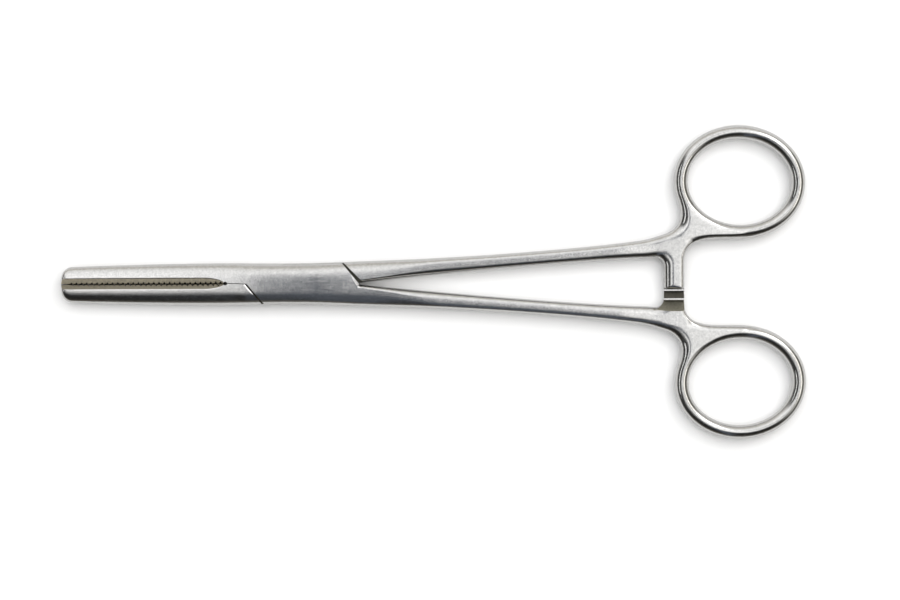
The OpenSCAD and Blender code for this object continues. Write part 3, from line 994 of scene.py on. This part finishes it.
def steel_grain():
    """Shader group: mottled satin grain of blasted and brushed steel.

    Puts out a tone and a gloss mask, both near one half, and a height for bump.
    """
    name = "Steel grain"
    if name in bpy.data.node_groups:
        return bpy.data.node_groups[name]
    tree = bpy.data.node_groups.new(name, "ShaderNodeTree")
    face = tree.interface
    for label, value in (("Mottle size", 0.0012), ("Grain size", 0.0004), ("Stretch", 6.0)):
        socket = face.new_socket(label, in_out="INPUT", socket_type="NodeSocketFloat")
        socket.default_value = value
    for label in ("Tone", "Gloss", "Height"):
        face.new_socket(label, in_out="OUTPUT", socket_type="NodeSocketFloat")
    given = add(tree, "NodeGroupInput").outputs
    place = add(tree, "ShaderNodeTexCoord").outputs["Object"]
    mottle, grain, stretch = (
        math_node(tree, "DIVIDE", 1, given[label])
        for label in ("Mottle size", "Grain size", "Stretch")
    )

    def noise(vector, scale, detail, roughness):
        values = {"Vector": vector, "Scale": scale, "Detail": detail, "Roughness": roughness}
        return add(tree, "ShaderNodeTexNoise", values).outputs["Fac"]

    squeeze = add(tree, "ShaderNodeCombineXYZ", {0: stretch, 1: 1, 2: 1}).outputs[0]
    along = add(tree, "ShaderNodeVectorMath", {0: place, 1: squeeze}, operation="MULTIPLY")
    cloud = noise(place, mottle, 5, 0.62)
    fine = noise(place, grain, 3, 0.6)
    brush = noise(along.outputs[0], grain, 2, 0.5)
    results = {
        "Tone": mix_node(tree, "FLOAT", 0.6, cloud, fine),
        "Gloss": mix_node(tree, "FLOAT", 0.65, cloud, brush),
        "Height": mix_node(tree, "FLOAT", 0.45, fine, brush),
    }
    add(tree, "NodeGroupOutput", results)
    return tree


def steel(name, base, roughness, tone, gloss, bump, stretch=6.0, mottle=0.0012):
    """Bare steel with its grain in colour, gloss and relief."""
    made = bpy.data.materials.new(name)
    made.use_nodes = True
    tree = made.node_tree
    sizes = {"Stretch": stretch, "Mottle size": mottle}
    grain = add(tree, "ShaderNodeGroup", sizes, node_tree=steel_grain()).outputs
    ramp = add(tree, "ShaderNodeValToRGB", {0: grain["Tone"]})
    for mark, position, part in zip(ramp.color_ramp.elements, (0.3, 0.7), (1 - tone, 1 + tone)):
        mark.position = position
        mark.color = (*[min(1, c * part) for c in base], 1)
    low, high = roughness - gloss, roughness + gloss
    spread = {"From Min": 0.3, "From Max": 0.7, "To Min": low, "To Max": high}
    spread = add(tree, "ShaderNodeMapRange", {"Value": grain["Gloss"], **spread})
    relief = {"Strength": bump, "Distance": 0.00003, "Height": grain["Height"]}
    values = {
        "Metallic": 1,
        "Base Color": ramp.outputs[0],
        "Roughness": spread.outputs["Result"],
        "Normal": add(tree, "ShaderNodeBump", relief).outputs["Normal"],
    }
    for key, value in values.items():
        plug(tree, tree.nodes["Principled BSDF"].inputs[key], value)
    return made


def finishes(scene):
    """The finishes of the clamp, made once."""
    if not MADE.get("finish"):
        look = scene.clamp_finish
        satin = {"tone": 0.15, "gloss": 0.04, "bump": 0.45}
        milled = {"tone": 0.2, "gloss": 0.08, "bump": 0.5, "stretch": 1.5, "mottle": 0.0006}
        MADE["finish"] = {
            key: steel(name, base, roughness, **grain)
            for key, name, base, roughness, grain in (
                ("satin", "satin steel", look.steel, look.satin, satin),
                # The upper bevels' colour is painted light and the lower bevels' painted shade: one
                # milled face, lit and shaded. The rack and scale colours are darker copies of the
                # steel, painted shade in hollows and gaps.
                ("milled", "milled steel", look.milled, look.rough, milled),
                ("dull_shaded", "dull steel", look.dull_shaded, look.matte, milled),
                ("rack", "rack steel", look.rack, look.matte, milled),
                ("scale", "shadowed steel", look.scale, look.matte, milled),
                ("pin", "pin steel", look.pin_steel, look.satin, satin),
            )
        }
    return MADE["finish"]


# ---------------- floor, lamps and camera


def build_floor(scene):
    material = bpy.data.materials.new("floor white")
    material.use_nodes = True
    tree = material.node_tree
    shader = tree.nodes["Principled BSDF"]
    # The steel mirrors the floor darker than it is.
    plain, darker = ((*[c * part for c in scene.clamp_finish.floor], 1) for part in (1.0, 0.8))
    mirrored = add(tree, "ShaderNodeLightPath").outputs["Is Glossy Ray"]
    plug(tree, shader.inputs["Base Color"], mix_node(tree, "RGBA", mirrored, plain, darker))
    shader.inputs["Roughness"].default_value = 0.9
    half = 1.5
    corners = [(-half, -half, 0), (half, -half, 0), (half, half, 0), (-half, half, 0)]
    floor = new_object("floor", corners, [(0, 1, 2, 3)], material)
    floor.data.transform(Matrix.Translation((0, 0, -0.00002)))


# The surroundings by direction: degrees that a ray leans from straight up, light level, warmth.
ALONG_Y = (
    (-90, 0.25, 1), (-64, 0.03, 1), (-33, 0.02, 0),
    (-27, 0.16, 0), (-20, 0.35, 0), (-14, 0.9, 0), (-8, 1.3, 0.2), (0, 1.5, 0), (8, 1.8, 0),
    (20, 1.5, 0), (45, 1.2, 0), (57, 1.0, 0.3), (66, 0.75, 0.5), (90, 0.8, 0.5),
)
ALONG_X = (
    (-90, 0.4, 0.3), (-74, 0.04, 0), (-30, 0.05, 0), (-20, 0.15, 0), (-12, 1.6, 0),
    (12, 1.7, 0.2), (22, 0.9, 0.2), (36, 0.6, 0.5), (56, 0.5, 0.5), (62, 0.08, 1), (74, 0.08, 1),
    (90, 0.5, 1),
)
SHADE = 0.145  # light level of the dark place overhead
SHADE_WEST, SHADE_EAST, SHADE_NORTH = (-9.0, -4.0), (1.5, 5.0), (0.0, 42.0)
BRIGHTEST = 2.0


def build_world(scene):
    """Soft surroundings, laid out by the lean of a ray along the clamp and across it."""
    world = bpy.data.worlds.new("studio")
    scene.world = world
    world.use_nodes = True
    tree = world.node_tree
    tree.nodes.clear()

    def sum_of(operation, *values):
        return math_node(tree, operation, *values)

    def rise(value, low, high):
        values = {"Value": value, "From Min": low, "From Max": high}
        node = add(tree, "ShaderNodeMapRange", values, interpolation_type="SMOOTHSTEP")
        return node.outputs["Result"]

    def ramp(value, stops):
        node = add(tree, "ShaderNodeValToRGB", {0: sum_of("MULTIPLY_ADD", value, 1 / 180, 0.5)})
        marks = node.color_ramp.elements
        while len(marks) < len(stops):
            marks.new(0.5)
        for mark, (degrees, level, warm) in zip(marks, stops):
            mark.position = degrees / 180 + 0.5
            tone = level / BRIGHTEST
            mark.color = (tone, tone * (1 - 0.05 * warm), tone * (1 - 0.16 * warm), 1)
        return node.outputs[0]

    turn = 180 / math.pi
    ray = {0: add(tree, "ShaderNodeTexCoord").outputs["Generated"]}
    ray = add(tree, "ShaderNodeSeparateXYZ", ray).outputs
    east = sum_of("MULTIPLY", sum_of("ARCTAN2", ray["X"], ray["Z"]), turn)
    north = sum_of("MULTIPLY", sum_of("ARCTAN2", ray["Y"], ray["Z"]), turn)
    west_side = rise(east, *SHADE_WEST)
    east_side = sum_of("SUBTRACT", 1, rise(east, *SHADE_EAST))
    south_side = sum_of("SUBTRACT", 1, rise(north, *SHADE_NORTH))
    shade = sum_of("MULTIPLY", sum_of("MULTIPLY", west_side, east_side), south_side)
    dark = SHADE / BRIGHTEST
    near = mix_node(tree, "RGBA", shade, ramp(north, ALONG_Y), (dark * 0.9, dark, dark * 1.2, 1))
    lean_x, lean_y = sum_of("ABSOLUTE", east), sum_of("ABSOLUTE", north)
    sideways = rise(sum_of("SUBTRACT", lean_x, lean_y), -6.0, 14.0)
    sideways = sum_of("MULTIPLY", sideways, rise(lean_x, 9.0, 16.0))
    level = mix_node(tree, "RGBA", sideways, near, ramp(east, ALONG_X))
    sky = add(tree, "ShaderNodeBackground", {"Color": level, "Strength": BRIGHTEST})
    white = add(tree, "ShaderNodeBackground", {"Color": (1, 1, 1, 1)})
    camera = add(tree, "ShaderNodeLightPath").outputs["Is Camera Ray"]
    seen = add(tree, "ShaderNodeMixShader", {0: camera, 1: sky.outputs[0], 2: white.outputs[0]})
    add(tree, "ShaderNodeOutputWorld", {"Surface": seen.outputs[0]})


def lamp(name, place, aim, width, height, power, tint=(1, 1, 1)):
    data = bpy.data.lights.new(name, "AREA")
    data.shape = "RECTANGLE"
    data.size, data.size_y = width, height
    data.energy = power
    data.color = tint
    made = bpy.data.objects.new(name, data)
    bpy.context.scene.collection.objects.link(made)
    made.location = place
    made.rotation_euler = (Vector(aim) - Vector(place)).to_track_quat("-Z", "Y").to_euler()
    return made


def build_lamps():
    middle = (0.035, 0, 0)
    lamp("window left", (-0.58, 0.05, 0.56), middle, 0.6, 0.16, 0.45)
    lamp("window right", (0.65, 0.05, 0.56), middle, 0.6, 0.16, 0.5, (1, 0.97, 0.91))
    lamp("window corner", (0.46, 0.42, 0.54), middle, 0.3, 0.3, 0.8)
    # Lights the floor alone: bare steel shows only what it mirrors.
    fill = lamp("fill", (0.035, 0.05, 1.2), middle, 2.0, 2.0, 14)
    fill.visible_glossy = False


PIXEL = 180 / 745 * MM  # of the photograph, at the height of the clamp's edges
PICTURE = (900, 600)
PIVOT_PIXEL = 303.4
AXIS_RISE = 3 / 679  # of the clamp's axis across the picture
AXIS_LEFT = (62, 285)


def build_camera(scene):
    data = bpy.data.cameras.new("camera")
    camera = bpy.data.objects.new("camera", data)
    scene.collection.objects.link(camera)
    data.lens = 100
    data.sensor_width = 36
    data.sensor_fit = "HORIZONTAL"
    middle_x, middle_y = PICTURE[0] / 2, PICTURE[1] / 2
    axis = AXIS_LEFT[1] - (middle_x - AXIS_LEFT[0]) * AXIS_RISE
    distance = PICTURE[0] * PIXEL * data.lens / data.sensor_width
    camera.location = (
        (middle_x - PIVOT_PIXEL) * PIXEL,
        (axis - middle_y) * PIXEL,
        distance + 0.6 * BOX_THICKNESS * MM,
    )
    camera.rotation_euler = (0, 0, -math.atan(AXIS_RISE))
    data.clip_start, data.clip_end = 0.01, 20
    scene.camera = camera


# ---------------- operators, panel and run


class CLAMP_OT_box_half(bpy.types.Operator):
    """Mill the half with the slotted box from its blank"""

    bl_idname = "clamp.box_half"
    bl_label = "Box half"

    def execute(self, context):
        build_box_half(sizes(context.scene), finishes(context.scene))
        return {"FINISHED"}


class CLAMP_OT_web_half(bpy.types.Operator):
    """Mill the half whose web runs through the box"""

    bl_idname = "clamp.web_half"
    bl_label = "Web half"

    def execute(self, context):
        build_web_half(sizes(context.scene), finishes(context.scene))
        return {"FINISHED"}


class CLAMP_OT_pin(bpy.types.Operator):
    """Set the pivot pin through the box"""

    bl_idname = "clamp.pin"
    bl_label = "Pivot pin"

    def execute(self, context):
        build_pin(sizes(context.scene), finishes(context.scene))
        return {"FINISHED"}


class CLAMP_OT_stage(bpy.types.Operator):
    """Lay the floor and set up the lamps and the camera"""

    bl_idname = "clamp.stage"
    bl_label = "Stage"

    def execute(self, context):
        scene = context.scene
        scene.view_settings.view_transform = "Standard"
        build_floor(scene)
        build_world(scene)
        build_lamps()
        build_camera(scene)
        return {"FINISHED"}


OPERATORS = (CLAMP_OT_stage, CLAMP_OT_box_half, CLAMP_OT_web_half, CLAMP_OT_pin)


class CLAMP_PT_panel(bpy.types.Panel):
    """Lists the steps that build the clamp"""

    bl_label = "Tubing clamp"
    bl_idname = "CLAMP_PT_panel"
    bl_space_type = "VIEW_3D"
    bl_region_type = "UI"
    bl_category = "Clamp"

    def draw(self, context):
        for step in OPERATORS:
            self.layout.operator(step.bl_idname)
        for part in (*PARTS, "finish"):
            column = self.layout.column()
            column.label(text=part.capitalize())
            group = getattr(context.scene, "clamp_" + part)
            for key in group.bl_rna.properties.keys():
                if key not in ("rna_type", "name"):
                    column.prop(group, key)


CLASSES = (*PARTS.values(), ClampFinish, *OPERATORS, CLAMP_PT_panel)


def register():
    for item in CLASSES:
        bpy.utils.register_class(item)
    for part, group in (*PARTS.items(), ("finish", ClampFinish)):
        setattr(bpy.types.Scene, "clamp_" + part, bpy.props.PointerProperty(type=group))


def unregister():
    for part in (*PARTS, "finish"):
        delattr(bpy.types.Scene, "clamp_" + part)
    for item in reversed(CLASSES):
        bpy.utils.unregister_class(item)


def main():
    register()
    bpy.ops.clamp.stage()
    bpy.ops.clamp.box_half()
    bpy.ops.clamp.web_half()
    bpy.ops.clamp.pin()


if __name__ == "__main__":
    main()
